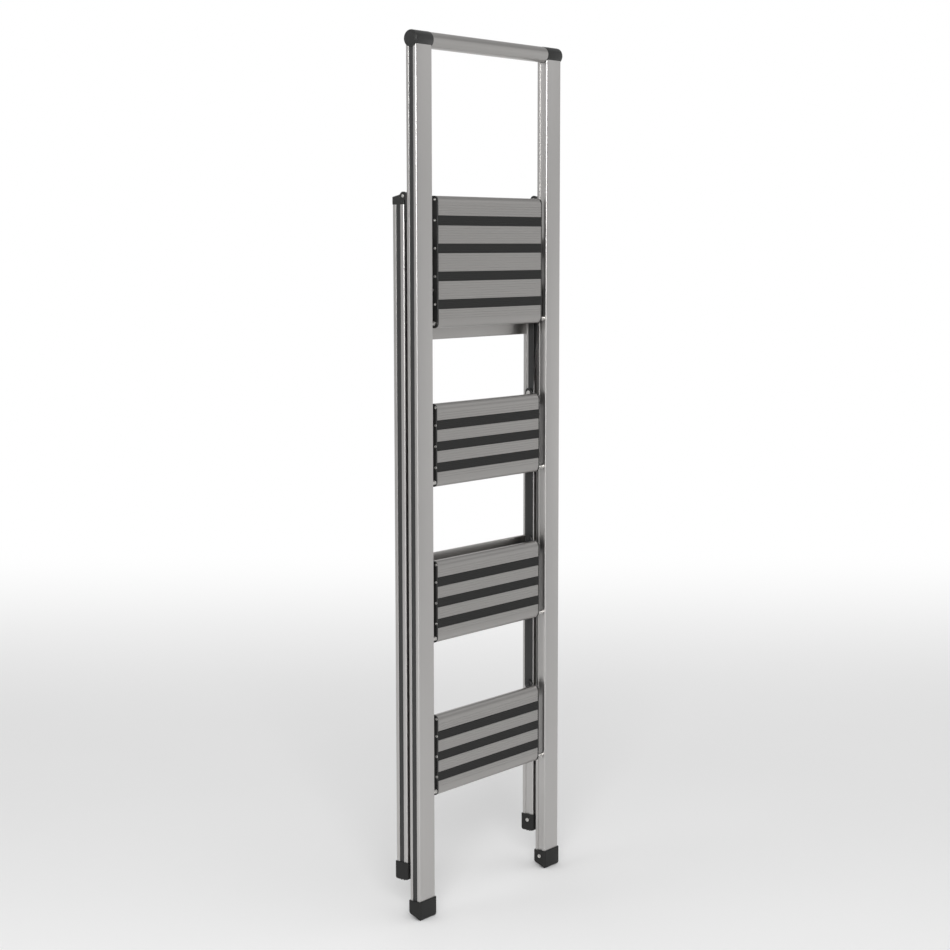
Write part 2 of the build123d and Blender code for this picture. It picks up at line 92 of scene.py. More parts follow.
# %% Camera
YAW, PITCH = 53.8775, 7.5973      # degrees: turned from +y towards +x, and looking down
camera_data = bpy.data.cameras.new("catalogue_camera")
camera_data.lens, camera_data.sensor_width = 78.48, 36.0
camera_data.shift_x, camera_data.shift_y = -0.0197, 0.0474
camera_data.clip_start, camera_data.clip_end = 0.05, 400.0
camera = bpy.data.objects.new("catalogue_camera", camera_data)
camera.location = (-2.7845, -2.0598, 1.1040)
camera.rotation_euler = (math.radians(90 - PITCH), 0, math.radians(-YAW))
bpy.context.scene.collection.objects.link(camera)
bpy.context.scene.camera = camera
print("camera at", tuple(round(c, 3) for c in camera.location))

# %% [markdown]
# ## Shapes as arrays
# Blender can make a shape with modifiers, with curves or point by point. Here almost every
# piece is a profile carried along a straight line, or turned round one, so numpy works out
# all its points at once and the mesh is filled from the arrays. A shape is a pair: its points,
# and a list of tables of corner numbers, one table for each number of corners a face has.

# %% Faces of a grid
def grid_faces(rows, columns, rows_close=False):
    """Four-cornered faces over points numbered row by row. Each row closes on itself; the last
    row joins the first as well if rows_close is set."""
    r = np.arange(rows if rows_close else rows - 1)[:, None]
    c = np.arange(columns)[None, :]
    r2, c2 = (r + 1) % rows, (c + 1) % columns
    ring = (r * columns + c, r * columns + c2, r2 * columns + c2, r2 * columns + c)
    return np.stack(np.broadcast_arrays(*ring), -1).reshape(-1, 4)


def outward(points, faces):
    """Turns a closed shape's faces outwards. The sum of a . (b x c) over its triangles is six
    times its volume, and is negative when the shape is inside out."""
    total = 0.0
    for table in faces:
        first, second, third = table[:, :1], table[:, 1:-1], table[:, 2:]
        total += (points[first] * np.cross(points[second], points[third])).sum()
    return points, faces if total > 0 else [table[:, ::-1] for table in faces]


def lofted(rings):
    """A skin over rings of points, an array of rings x points x 3, with a flat face at each end."""
    rows, count = rings.shape[:2]
    ends = np.arange(count)[None, ::-1], (rows - 1) * count + np.arange(count)[None, :]
    return outward(rings.reshape(-1, 3), [grid_faces(rows, count), *ends])


def joined(shapes):
    """Several shapes as one: each one's corner numbers move on past the points before it."""
    starts = np.cumsum([0] + [len(points) for points, _ in shapes])
    tables = [table + start for (_, faces), start in zip(shapes, starts) for table in faces]
    return np.concatenate([points for points, _ in shapes]), tables


def mirrored(shape):
    """The same shape on the other side of the ladder, x turned to -x, faces still outward."""
    points, faces = shape
    return points * [-1, 1, 1], [table[:, ::-1] for table in faces]


print("a 4 x 8 tube has", len(grid_faces(4, 8)), "faces")


# %% [markdown]
# ## Round corners
# Nothing on a real extrusion or moulding is perfectly sharp, and the thin bright line along a
# rounded edge is what makes metal look like metal. A Bevel modifier would do, but an arc drawn
# in the profile itself gives an exact radius for each corner. Complex numbers make it short:
# multiplying by a power of e turns a point about the middle of the arc.

# %% Profiles
def rounded(points, radii, steps=7):
    """Closed profile with round corners, points as across + 1j * up. Each corner gives way to
    the arc of its radius that touches both sides: the arc starts radius x tan(turn / 2) before
    the corner, and its middle lies a radius to the inner side of that place."""
    p = np.asarray(points, complex)
    r = np.broadcast_to(np.asarray(radii, float), p.shape)
    come = p - np.roll(p, 1)
    come = come / abs(come)
    turn = np.angle(np.roll(come, -1) / come)
    start = p - r * np.tan(abs(turn) / 2) * come
    middle = start + 1j * np.sign(turn) * r * come
    sweep = np.exp(1j * turn[:, None] * np.linspace(0, 1, steps))
    return (middle[:, None] + (start - middle)[:, None] * sweep).ravel()


def inset(profile, by):
    """A closed profile moved inwards: each point goes along the normal of its neighbours' line."""
    along = np.roll(profile, -1) - np.roll(profile, 1)
    area = (profile.real * np.roll(profile.imag, -1) - profile.imag * np.roll(profile.real, -1)).sum()
    return profile + np.sign(area) * 1j * along / abs(along) * by


def placed(profile, along, axis):
    """Points of a profile at a distance along an axis: across and up are y and z for x, and x
    and y for z."""
    across, up, far = np.broadcast_arrays(profile.real, profile.imag, along)
    return np.stack((far, across, up) if axis == "x" else (across, up, far), -1)


def bar(profile, start, end, axis="x", edge=0.0):
    """A profile carried from start to end; edge rounds its two rims. The rounding is a quarter
    circle, inwards by edge x (1 - sin t) while the rim comes in by edge x (1 - cos t)."""
    if not edge:
        return lofted(np.stack([placed(profile, start, axis), placed(profile, end, axis)]))
    t = np.linspace(0, math.pi / 2, 4)
    steps = list(zip(edge * (1 - np.sin(t)), edge * (1 - np.cos(t))))   # (inwards, along)
    way = np.sign(end - start)
    low = [placed(inset(profile, d), start + way * a, axis) for d, a in steps]
    high = [placed(inset(profile, d), end - way * a, axis) for d, a in steps[::-1]]
    return lofted(np.stack(low + high))


def box_profile(low, high, radius, steps=7):
    """Rectangle with round corners between two opposite corners, given as (across, up) pairs."""
    (a, b), (c, d) = low, high
    return rounded([a + 1j * b, c + 1j * b, c + 1j * d, a + 1j * d], radius, steps)


def turned(profile, y, z, steps=48, ring=False):
    """Surface of revolution about a line along x: each pair (place along x, radius) runs round a
    circle. With ring set the profile closes on itself, as on a bush."""
    along, radius = np.array(profile, float).T[:, :, None]
    a = np.linspace(0, 2 * math.pi, steps, endpoint=False)
    rings = np.stack(np.broadcast_arrays(along, y + radius * np.cos(a), z + radius * np.sin(a)), -1)
    if ring:
        return outward(rings.reshape(-1, 3), [grid_faces(len(profile), steps, True)])
    return lofted(rings)


print("a rounded square has", len(rounded([0, 1, 1 + 1j, 1j], 0.2)), "points")


# %% [markdown]
# ## From arrays to a Blender piece
# Each finished piece rides on the body of the solid it stands for, takes that solid's place, and gets
# its material. Smooth shading with sharp edges kept above an angle makes arcs look round and flats look
# flat.

# %% Making a piece
def material_for(slot):
    """The material of that name, made empty if it is new; the finishes are worked out further down."""
    found = bpy.data.materials.get(slot)
    return found or bpy.data.materials.new(slot)


def put(mesh, node, finish, keep_sharp):
    """Gives a mesh its material and shading, and sets it on the body of the solid it stands for."""
    mesh.materials.clear()
    mesh.materials.append(material_for(finish))
    mesh.shade_smooth()
    mesh.set_sharp_from_angle(angle=math.radians(keep_sharp))
    obj = bpy.data.objects.new(mesh.name, mesh)
    bpy.context.scene.collection.objects.link(obj)
    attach(obj, body_of[node])
    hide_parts(node)
    return obj


def piece(name, shape, node, finish, keep_sharp=38):
    """A mesh from a shape in millimetres, in place of one solid, on that solid's body."""
    points, faces = shape
    mesh = bpy.data.meshes.new(name)
    mesh.from_pydata((points * MM).tolist(), [], [face for table in faces for face in table.tolist()])
    put(mesh, node, finish, keep_sharp)


# %% [markdown]
# ## Stiles
# A stile is one length of extruded aluminium. Its section is a rounded rectangle with a deep
# groove on the outer face, where a black strip is pressed in, and a shallow groove on the
# inner face. The lips of the grooves are rounded, and catch the light as thin lines. The
# front stiles end in a saddle under the handle bar: each line of the section stops where it
# meets the bar's cylinder.

# %% Stile sections
GROOVE_W, GROOVE_DEEP, INNER_DEEP = 8.6, 5.0, 1.4
LONG_EDGE, LIP_EDGE, BED_EDGE = 2.6, 0.7, 0.3     # long corners, groove lips, groove beds
INNER_LIP, INNER_BED = 0.4, 0.2                   # the same for the shallow inner groove


def stile_profile(low, high):
    """Section of a right-hand stile from its box: a rectangle with one groove in each side."""
    (x0, y0), (x1, y1) = low[:2], high[:2]
    g0, g1 = (y0 + y1 - GROOVE_W) / 2, (y0 + y1 + GROOVE_W) / 2
    xs = [x0, x1, x1, x1 - GROOVE_DEEP, x1 - GROOVE_DEEP, x1, x1, x0, x0, x0 + INNER_DEEP,
          x0 + INNER_DEEP, x0]
    ys = [y0, y0, g0, g0, g1, g1, y1, y1, g1, g1, g0, g0]
    radii = [LONG_EDGE, LONG_EDGE, LIP_EDGE, BED_EDGE, BED_EDGE, LIP_EDGE, LONG_EDGE, LONG_EDGE,
             INNER_LIP, INNER_BED, INNER_BED, INNER_LIP]
    return rounded(np.array(xs) + 1j * np.array(ys), radii)


def insert_profile(low, high):
    """Section of the insert: its outer face swells a little between two fine edge lines."""
    y = np.linspace(low[1] + 0.05, high[1] - 0.05, 33)
    u = 2 * (y - y.mean()) / (y[-1] - y[0])
    crown = high[0] - 0.55 * u**2 - 0.35 * np.exp(-((abs(u) - 0.72) / 0.05) ** 2)
    return np.concatenate([crown + 1j * y, [low[0] + 1j * y[-1], low[0] + 1j * y[0]]])


bar_low, bar_high = corners("handle_tube")
HANDLE_Y, HANDLE_Z = (bar_low[1:] + bar_high[1:]) / 2
TUBE_R = (bar_high[2] - bar_low[2]) / 2
HANDLE_R = corners("right_handle_cap")[1][2] - HANDLE_Z       # the corner caps are a little wider


def saddle(profile):
    """Height at which each line of a front stile meets the handle bar's cylinder."""
    return HANDLE_Z - np.sqrt(HANDLE_R**2 - (profile.imag - HANDLE_Y) ** 2) + 0.3


for frame_name in ("front", "rear"):
    for part, shape_of, slot in (("stile", stile_profile, "anodised_aluminium"),
                                 ("insert", insert_profile, "black_moulding")):
        low, high = corners(f"{frame_name}_right_{part}")
        profile = shape_of(low, high)
        top = saddle(profile) if frame_name == "front" else high[2]
        right = lofted(np.stack([placed(profile, low[2], "z"), placed(profile, top, "z")]))
        for hand, shape in (("right", right), ("left", mirrored(right))):
            name = f"{frame_name}_{hand}_{part}"
            finish = "upright_aluminium" if part == "stile" else "groove_insert"
            piece(f"{name}_skin", shape, name, finish)
print("stiles run up to z", round(high[2], 1), "mm at the back")

# %% [markdown]
# ## Handle bar
# The bar is plain tube between two moulded corner caps. The caps are a little wider than the
# tube, with a rounded outer rim and a shallow ring pressed into the end, so they are turned
# about the bar's own axis from a short profile.

# %% Handle bar and caps
tube = turned([(bar_low[0] - 1, TUBE_R), (bar_high[0] + 1, TUBE_R)], HANDLE_Y, HANDLE_Z, 96)
piece("handle_tube_skin", tube, "handle_tube", "crosswise_aluminium")


def cap_profile(inner, outer, radius):
    """Half outline of a corner cap: a small lip at the tube, a straight barrel, a rounded rim, and
    a shallow ring in a slightly domed end."""
    t = np.linspace(0, math.pi / 2, 7)
    lip = [(inner - 0.02, radius - 1.6), (inner, radius - 0.45), (inner + 0.12, radius - 0.13),
           (inner + 0.4, radius)]
    rim = list(zip(outer - 2.0 + 2.0 * np.sin(t) - 0.3, radius - 2.0 + 2.0 * np.cos(t)))
    r = np.linspace(radius - 2.4, 0.3, 26)
    ring = 0.45 * np.exp(-((r - (radius - 3.2)) / 0.35) ** 2)
    face = outer - 0.3 - ring + 0.25 * (1 - (r / (radius - 2.2)) ** 2)
    return lip + rim + list(zip(face, r))


for hand, side in SIDES.items():
    low, high = corners(f"{hand}_handle_cap")
    inner, outer = bar_high[0], max(abs(low[0]), abs(high[0]))
    cap = turned(cap_profile(inner, outer, HANDLE_R), HANDLE_Y, HANDLE_Z, 96)
    plug = bar(box_profile((164, HANDLE_Y - 7), (192, HANDLE_Y + 7), 1.5), low[2], HANDLE_Z - 4, "z")
    shape = joined([cap, plug])
    name = f"{hand}_handle_cap"
    piece(f"{name}_skin", shape if side > 0 else mirrored(shape), name,
          "gloss_moulding")
print("tube radius", round(TUBE_R, 2), "mm, cap radius", round(HANDLE_R, 2), "mm")

# %% [markdown]
# ## Boots
# The feet are moulded rubber boots. The front ones have a sole cut on the slant, so that it
# lies flat when the ladder leans; the rear ones have a rocker sole. A boot is a stack of
# rings: the same rounded rectangle drawn in a little at the sole and at the collar, and each
# ring's height follows the sole's own slope low down and is level at the collar.

# %% Boots
def boot(low, high, sole, wall_top, edge):
    """Stack of rings up a right-hand boot. A ring is the footprint moved in by a small amount; its
    height is the sole's height there plus a little, blended into a level line higher up."""
    outline = box_profile(low[:2], high[:2], 3.6, 9)
    t = np.linspace(0, math.pi / 2, 6)
    rings = [(3.2, 1.1, 0), (2.6, 0.0, 0)] if edge > 3 else [(2.2, 0.8, 0), (1.8, 0.0, 0)]
    rings = rings + [(edge * (1 - np.sin(a)), edge * (1 - np.cos(a)), 0) for a in t]
    rings += [(0.0, 0.0, s) for s in (0.25, 0.5, 0.75, 0.93)]
    rings += [(0.0, -0.9, 1), (0.12, -0.35, 1), (0.45, -0.05, 1), (0.9, 0.0, 1), (1.6, -0.4, 1)]
    rows = []
    for come_in, lift, level in rings:
        line = inset(outline, come_in)
        height = (1 - level) * (sole(line.imag) + edge * (level > 0)) + level * wall_top + lift
        rows.append(placed(line, height, "z"))
    return lofted(np.stack(rows))


def sole_ribs(low, high, sole, count):
    """Cross ribs under a boot: flat bars that follow the sole and stand just below it."""
    ys = np.linspace(low[1] + 5, high[1] - 5, count)
    ribs = []
    for y in ys:
        rib = rounded([y - 1.1 + 1j * (sole(y) - 0.02), y + 1.1 + 1j * (sole(y) - 0.02),
                       y + 1.1 + 1j * (sole(y) + 1.6), y - 1.1 + 1j * (sole(y) + 1.6)], 0.35, 4)
        ribs.append(bar(rib, low[0] + 4, high[0] - 4))
    return ribs


for frame_name, edge in (("front", 4.2), ("rear", 2.4)):
    low, high = corners(f"{frame_name}_right_foot")
    depth, middle = high[1] - low[1], (low[1] + high[1]) / 2

    def sole(y):
        """Height of the sole: a slant that starts behind the toe, or a shallow rocker."""
        if frame_name == "front":
            return low[2] + 0.5 + math.tan(math.radians(22)) * np.maximum(y - low[1] - 3.0, -1.0)
        return low[2] + 0.3 + 3.6 * (2 * (y - middle) / depth) ** 2

    shape = joined([boot(low, high, sole, high[2], edge), *sole_ribs(low, high, sole, 4)])
    for hand, side in SIDES.items():
        name = f"{frame_name}_{hand}_foot"
        piece(f"{name}_skin", shape if side > 0 else mirrored(shape), name,
              "foot_rubber")
    print(frame_name, "boot", np.round(high - low, 1))

# %% [markdown]
# ## Treads and platform
# Each step is one wide extrusion. Its standing face has bands of fine ribs between the black
# strips, and both long edges are rounded noses. Drawing the ribs in a bump map would be
# cheap, but they would vanish at the ends and from the side, so they are in the profile: the
# face is sampled every sixth of a millimetre, and each rib line dips in a smooth trough.

# %% Tread boards
NOSE, NOSE_H = 7.2, 11.0          # depth of the noses, and height of their front halves
RIB_PITCH, RIB_WIDE, RIB_DEEP = 4.0, 1.5, 0.42
STRIP_W, STRIP_SUNK = 15.3, 1.4
STEPS = {"lower_tread": 3, "middle_tread": 3, "upper_tread": 3, "platform": 4}


def troughs(z, pitch, wide, deep):
    """Depth of a row of smooth troughs: deep x cos^2 across each one's width, nothing between."""
    off = (z + pitch / 2) % pitch - pitch / 2
    return deep * np.cos(math.pi * np.clip(off / wide, -0.5, 0.5)) ** 2


def board_profile(low, high, strip_lows):
    """Section of a board in y and z: ribbed front with a channel for each strip, two noses, and a
    back with a few shallow extrusion lines."""
    (y0, z0), (y1, z1) = low[1:], high[1:]
    arc = np.exp(1j * np.linspace(0, math.pi / 2, 16))
    z = np.arange(z0 + NOSE_H + 0.4, z1 - NOSE_H - 0.4, 1 / 6)
    channel = sum(((z > s) & (z < s + STRIP_W)) for s in strip_lows) > 0
    near_edge = np.minimum(z - z0, z1 - z) < NOSE_H + 2.0
    ribs = troughs(z - z0, RIB_PITCH, RIB_WIDE, RIB_DEEP) * ~near_edge
    front = y0 + np.where(channel, STRIP_SUNK, ribs) + 1j * z
    zb = np.arange(z0 + NOSE + 1, z1 - NOSE - 1, 0.5)
    back = y1 - troughs(zb - z0 - 11, 22.0, 2.4, 0.45) + 1j * zb
    corner = {"top_front": (y0 + NOSE + 1j * (z1 - NOSE_H), -arc.conj(), NOSE_H),
              "top_back": (y1 - NOSE + 1j * (z1 - NOSE), 1j * arc.conj(), NOSE),
              "low_back": (y1 - NOSE + 1j * (z0 + NOSE), arc.conj(), NOSE),
              "low_front": (y0 + NOSE + 1j * (z0 + NOSE_H), -1j * arc.conj(), NOSE_H)}
    turn = {k: c + NOSE * a.real + 1j * tall * a.imag for k, (c, a, tall) in corner.items()}
    return np.concatenate([front, turn["top_front"], turn["top_back"], back[::-1],
                           turn["low_back"], turn["low_front"]])


def strip_profile(low, high, bottom):
    """Section of one strip: a flat bed below the face and five round ribs above it."""
    z = np.linspace(bottom + 0.1, bottom + STRIP_W - 0.1, 76)
    shoulder = np.clip(np.minimum(z - z[0], z[-1] - z) / 0.5, 0, 1)
    ribs = 0.32 * np.cos(math.pi * 5 * (z - bottom) / STRIP_W) ** 2
    face = low[1] + 0.1 + ribs + 0.5 * (1 - np.sqrt(1 - (1 - shoulder) ** 2))
    return np.concatenate([face + 1j * z, [high[1] + 1j * z[-1], high[1] + 1j * z[0]]])


for name, count in STEPS.items():
    low, high = corners(f"{name}_board")
    s_low, s_high = corners(f"{name}_strips")
    bottoms = np.linspace(s_low[2], s_high[2] - STRIP_W, count)
    piece(f"{name}_board_skin", bar(board_profile(low, high, bottoms), low[0], high[0]),
          f"{name}_board", "tread_aluminium", keep_sharp=50)
    strips = [bar(strip_profile(s_low, s_high, b), s_low[0], s_high[0]) for b in bottoms]
    piece(f"{name}_strips_skin", joined(strips), f"{name}_strips", "strip_rubber",
          keep_sharp=60)
    print(name, "strips start", np.round(bottoms - low[2], 1), "mm above its lower edge")

# %% [markdown]
# ## Softened solids
# The end caps, hinge brackets and hinge caps are mouldings whose outlines are right already;
# they only lack soft edges. A copy of the solid's mesh is merged, its flat triangles are
# dissolved into whole faces, and a Bevel modifier rounds what is left of its sharp edges.
# The solid itself is never changed.

# %% Softened copies
def softened(node, finish, width):
    """Copy of a solid with its edges rounded by width, in millimetres."""
    work = bmesh.new()
    work.from_mesh(nodes[node].data)
    bmesh.ops.remove_doubles(work, verts=work.verts, dist=1e-6)
    bmesh.ops.dissolve_limit(work, angle_limit=math.radians(1.0), verts=work.verts, edges=work.edges)
    mesh = bpy.data.meshes.new(f"{node}_skin")
    work.to_mesh(mesh)
    work.free()
    obj = put(mesh, node, finish, 38)
    bevel = obj.modifiers.new("soft_edges", "BEVEL")
    bevel.width, bevel.segments, bevel.limit_method = width * MM, 3, "ANGLE"
    bevel.angle_limit = math.radians(40)
    bevel.use_clamp_overlap = False


for hand in SIDES:
    for name in STEPS:
        softened(f"{name}_{hand}_cap", "gloss_moulding", 0.5)
    softened(f"{hand}_hinge_bracket", "gloss_moulding", 0.5)
    softened(f"rear_{hand}_hinge_cap", "gloss_moulding", 0.7)
print("softened", len(STEPS) * 2 + 4, "mouldings")

# %% [markdown]
# ## Links and stays
# Flat steel bars tie the treads to the platform and the platform to the rear frame. Stamped
# flat bar has rounded ends and slightly rolled edges, so each is an outline given a little
# thickness, with a quarter-circle rim.

# %% Links and stays
def slot_profile(end_a, end_b, width, steps=20):
    """Outline of a bar with half-round ends about two points, each given as y + 1j * z."""
    along = (end_b - end_a) / abs(end_b - end_a)
    half = np.exp(1j * np.linspace(-math.pi / 2, math.pi / 2, steps)) * along * width / 2
    return np.concatenate([end_b + half, end_a - half])


def pin_middle(node):
    """Middle of a pin in y and z as one complex number, from its solid's box."""
    low, high = corners(node)
    return complex((low[1] + high[1]) / 2, (low[2] + high[2]) / 2)


for part in ("link_bar", "link_strap"):
    low, high = corners(f"right_{part}")
    end_radius = (high[1] - low[1]) / 2 - (0.02 if part == "link_strap" else 2.0)
    flat = bar(box_profile(low[1:], high[1:], end_radius, 12), low[0], high[0], edge=0.35)
    for hand, shape in (("right", flat), ("left", mirrored(flat))):
        piece(f"{hand}_{part}_skin", shape, f"{hand}_{part}", "coated_steel")
low, high = corners("right_stay")
STAY_W = 9.0                      # width of a stay, round its pins
upper_end, lower_end = pin_middle("stay_pins"), pin_middle("right_stay_rivet")
flat = bar(slot_profile(upper_end, lower_end, STAY_W), low[0], high[0], edge=0.4)
for hand, shape in (("right", flat), ("left", mirrored(flat))):
    piece(f"{hand}_stay_skin", shape, f"{hand}_stay", "coated_steel")
print("stays are", round(abs(upper_end - lower_end), 1), "mm between pins")

# %% [markdown]
# ## Crossbars
# Two flat tubes join the rear stiles. Their section is a slim rounded rectangle.

# %% Crossbars
for which in ("upper", "lower"):
    low, high = corners(f"rear_{which}_crossbar")
    section = box_profile(low[1:], high[1:], 2.0, 9)
    piece(f"rear_{which}_crossbar_skin", bar(section, low[0], high[0]),
          f"rear_{which}_crossbar", "crosswise_aluminium")

# %% [markdown]
# ## Screws, rivets, pins and bushes
# Small bright parts, mostly heads. A screw head is a low dome with a cross pressed into it:
# height is worked out over rings and angles at once, and the cross takes away depth where a
# point lies near either of two lines through the middle. A rivet is the same dome with no
# cross.

# %% Heads
def head(face, y, z, radius, height, cross=0.0, steps=36):
    """Domed head on a face at x = face, standing out along the sign of height. Rings shrink
    towards the middle while the dome rises as the square root of 1 - (0.97 r)^2; the cross
    takes away depth within its arms, with sloping sides."""
    r = np.array([1.0, 1.0, 0.985, 0.95, 0.88, 0.78, 0.66, 0.54, 0.44, 0.36, 0.26, 0.15, 0.04])
    r = r[:, None]
    a = np.linspace(0, 2 * math.pi, steps, endpoint=False)
    dome = 0.35 + 0.65 * np.sqrt(1 - (0.97 * r) ** 2)
    dome[0], dome[1] = 0, 0.3
    u, v = abs(r * np.cos(a)), abs(r * np.sin(a))
    arm = np.clip((0.17 - np.minimum(u, v)) / 0.07, 0, 1) * np.clip((0.6 - r) / 0.1, 0, 1)
    x = face + height * (dome - cross * arm)
    rings = np.stack(np.broadcast_arrays(x, y + radius * r * np.cos(a), z + radius * r * np.sin(a)), -1)
    return lofted(rings)


def both(shapes):
    """Right-hand shapes and their mirror images as one shape."""
    return joined([*shapes, *[mirrored(s) for s in shapes]])


def screws(name, face, way, spots, radius, height=1.2):
    """Cross-head screws at (y, z) spots on a right-hand face, and their mirror images."""
    heads = [head(face, y, z, radius, way * height, 0.7) for y, z in spots]
    piece(f"{name}_skin", both(heads), name, "bright_steel", 50)


for frame_name in ("front", "rear"):
    name = f"{frame_name}_foot_screws"
    low, high = corners(name)
    face = corners(f"{frame_name}_right_foot")[0][0]
    screws(name, face, -1, [((low[1] + high[1]) / 2, (low[2] + high[2]) / 2)], 3.4)

for name, count in STEPS.items():
    low, high = corners(f"{name}_screws")
    b_low, b_high = corners(f"{name}_board")
    s_low, s_high = corners(f"{name}_strips")
    face = corners(f"{name}_right_cap")[1][0]
    y = (low[1] + high[1]) / 2
    at = np.linspace(s_low[2], s_high[2] - STRIP_W, count) + STRIP_W / 2
    screws(f"{name}_screws", face, 1, [(y, z) for z in at] + [(y, b_high[2] - 6.0)], 2.2, 1.0)

# %% Rivets, pins and bushes
PIN_R, HEAD_T = 3.0, 0.9                   # pin radius, and thickness of a rivet's head
LINK_HEAD_X, STAY_PIN_X = 142.6, (142.9, 156.4)      # where heads start, from the middle
STILE_FACE_X = 159.0                       # inner face of a stile


def rivet(y, z, inner, outer, shank=PIN_R, flange=4.2):
    """A shank from inner to outer along x with a domed head on each end."""
    rod = turned([(inner, shank), (outer, shank)], y, z, 24)
    return [rod, head(inner, y, z, flange, -1.0, steps=28), head(outer, y, z, flange, 1.0, steps=28)]


for name in STEPS:
    low, high = corners(f"{name}_link_pins")
    at = pin_middle(f"{name}_link_pins")
    slot, finish = "bright_steel", "bright_steel"
    if name in ("lower_tread", "middle_tread"):      # these two are black like their links
        slot, finish = "black_steel", "coated_steel"
    piece(f"{name}_link_pins_skin", both(rivet(at.real, at.imag, LINK_HEAD_X, high[0] - HEAD_T)),
          f"{name}_link_pins", finish, 50)
at = pin_middle("stay_pins")
piece("stay_pins_skin", both(rivet(at.real, at.imag, *STAY_PIN_X, flange=4.0)), "stay_pins",
      "bright_steel", 50)
at = pin_middle("right_stay_rivet")
low, high = corners("right_stay_rivet")
shank = turned([(low[0] + HEAD_T, PIN_R), (high[0], PIN_R)], at.real, at.imag, 24)
shape = joined([shank, head(low[0] + HEAD_T, at.real, at.imag, 4.2, -1.0, steps=28)])
for hand, half in (("right", shape), ("left", mirrored(shape))):
    piece(f"{hand}_stay_rivet_skin", half, f"{hand}_stay_rivet", "bright_steel", 50)
low, high = corners("hinge_pins")
at = pin_middle("hinge_pins")
piece("hinge_pins_skin", both(rivet(at.real, at.imag, STILE_FACE_X - 0.1, high[0] - HEAD_T, 1.8, 2.5)),
      "hinge_pins", "bright_steel", 50)

low, high = corners("tread_pivots")
b_low, b_high = corners("pivot_bushes")
levels = np.linspace(b_low[2], b_high[2] - (b_high[1] - b_low[1]), 4) + (b_high[1] - b_low[1]) / 2
pivot_y = (low[1] + high[1]) / 2
shafts = [turned([(135.5, PIN_R), (STILE_FACE_X, PIN_R)], pivot_y, z, 32) for z in levels]
piece("tread_pivots_skin", both(shafts), "tread_pivots", "bright_steel")
start, end, r = 146.4, STILE_FACE_X, (b_high[1] - b_low[1]) / 2
bush = [(start, PIN_R), (start, r - 0.3), (start + 0.3, r), (start + 2.2, r),
        (start + 2.5, r - 0.6), (end - 2.5, r - 0.6), (end - 2.2, r), (end, r), (end, PIN_R)]
bushes = [turned(bush, pivot_y, z, 40, ring=True) for z in levels]
piece("pivot_bushes_skin", both(bushes), "pivot_bushes", "bright_steel")
print("pivots at z", np.round(levels, 1))

# %% [markdown]
# ## Shader maths in Python
# A material is a graph of nodes. Wiring it by hand is slow to read, so one small class wraps
# a socket: + - * on it add Math nodes, and one method adds any other node with its settings
# and inputs. Materials read Object coordinates, in metres, so a pattern keeps its true size.

# %% Sockets that do maths
class Wire:
    """A socket of a material's graph that adds Math nodes when it is used in an expression."""

    def __init__(self, graph, socket):
        self.graph, self.socket = graph, socket

    def _math(self, operation, a, b):
        return self.graph.node("ShaderNodeMath", {"operation": operation}, {0: a, 1: b})

    def __add__(self, other): return self._math("ADD", self, other)
    __radd__ = __add__
    def __sub__(self, other): return self._math("SUBTRACT", self, other)
    def __rsub__(self, other): return self._math("SUBTRACT", other, self)
    def __mul__(self, other): return self._math("MULTIPLY", self, other)
    __rmul__ = __mul__


